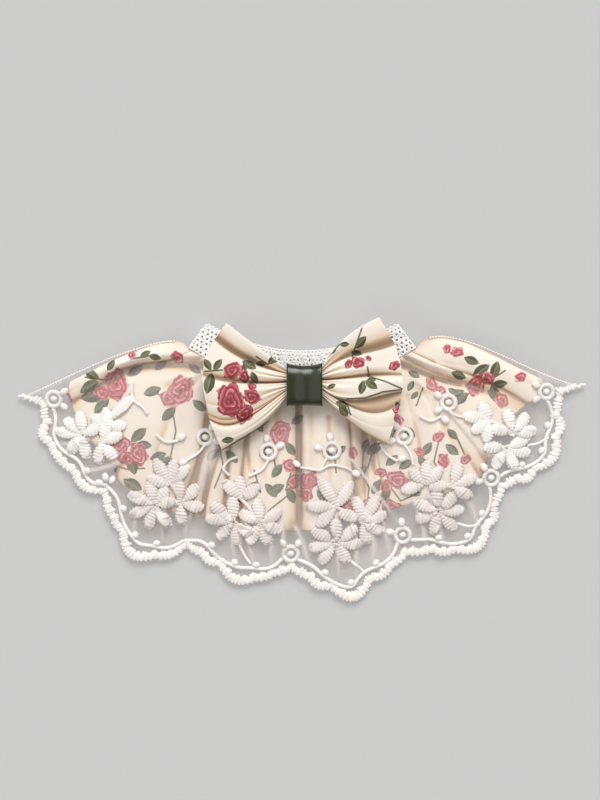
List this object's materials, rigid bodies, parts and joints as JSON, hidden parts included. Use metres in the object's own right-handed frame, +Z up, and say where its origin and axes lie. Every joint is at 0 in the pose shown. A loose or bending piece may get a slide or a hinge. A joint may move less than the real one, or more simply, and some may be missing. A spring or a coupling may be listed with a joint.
{
  "type": "pet lace collar",
  "caption": "Slip-over pet collar laid flat: floral cotton ruffle under a scalloped embroidered lace flounce, a crocheted neck tape and a floral bow with a satin knot.",
  "frame": {"origin": "on the table under the middle of the collar's outline", "axes": "+X to the right along the collar's length, +Y from the lace hem to the neck, +Z up from the table"},
  "size_m": [0.2596, 0.1303, 0.0207],
  "materials": {
    "net": "fine white net",
    "thread": "raised satin-stitch embroidery",
    "cotton": "plain-weave cotton with a rose print",
    "tape": "white crochet tape",
    "satin": "dark green satin ribbon"
  },
  "bodies": {
    "root": {"lace_back": "net", "ruffle_back": "cotton", "neckband": "tape", "ruffle_front": "cotton", "lace_front": "net", "bow_back": "cotton", "bow_front": "cotton", "bow_knot": "satin", "embroidery_1": "thread", "embroidery_2": "thread", "embroidery_3": "thread", "embroidery_4": "thread", "embroidery_5": "thread", "embroidery_6": "thread", "ring_1": "thread", "ring_2": "thread", "ring_3": "thread", "ring_4": "thread", "ring_5": "thread", "ring_6": "thread", "ring_7": "thread", "ring_8": "thread", "ring_9": "thread", "ring_10": "thread"}
  },
  "joints": []
}
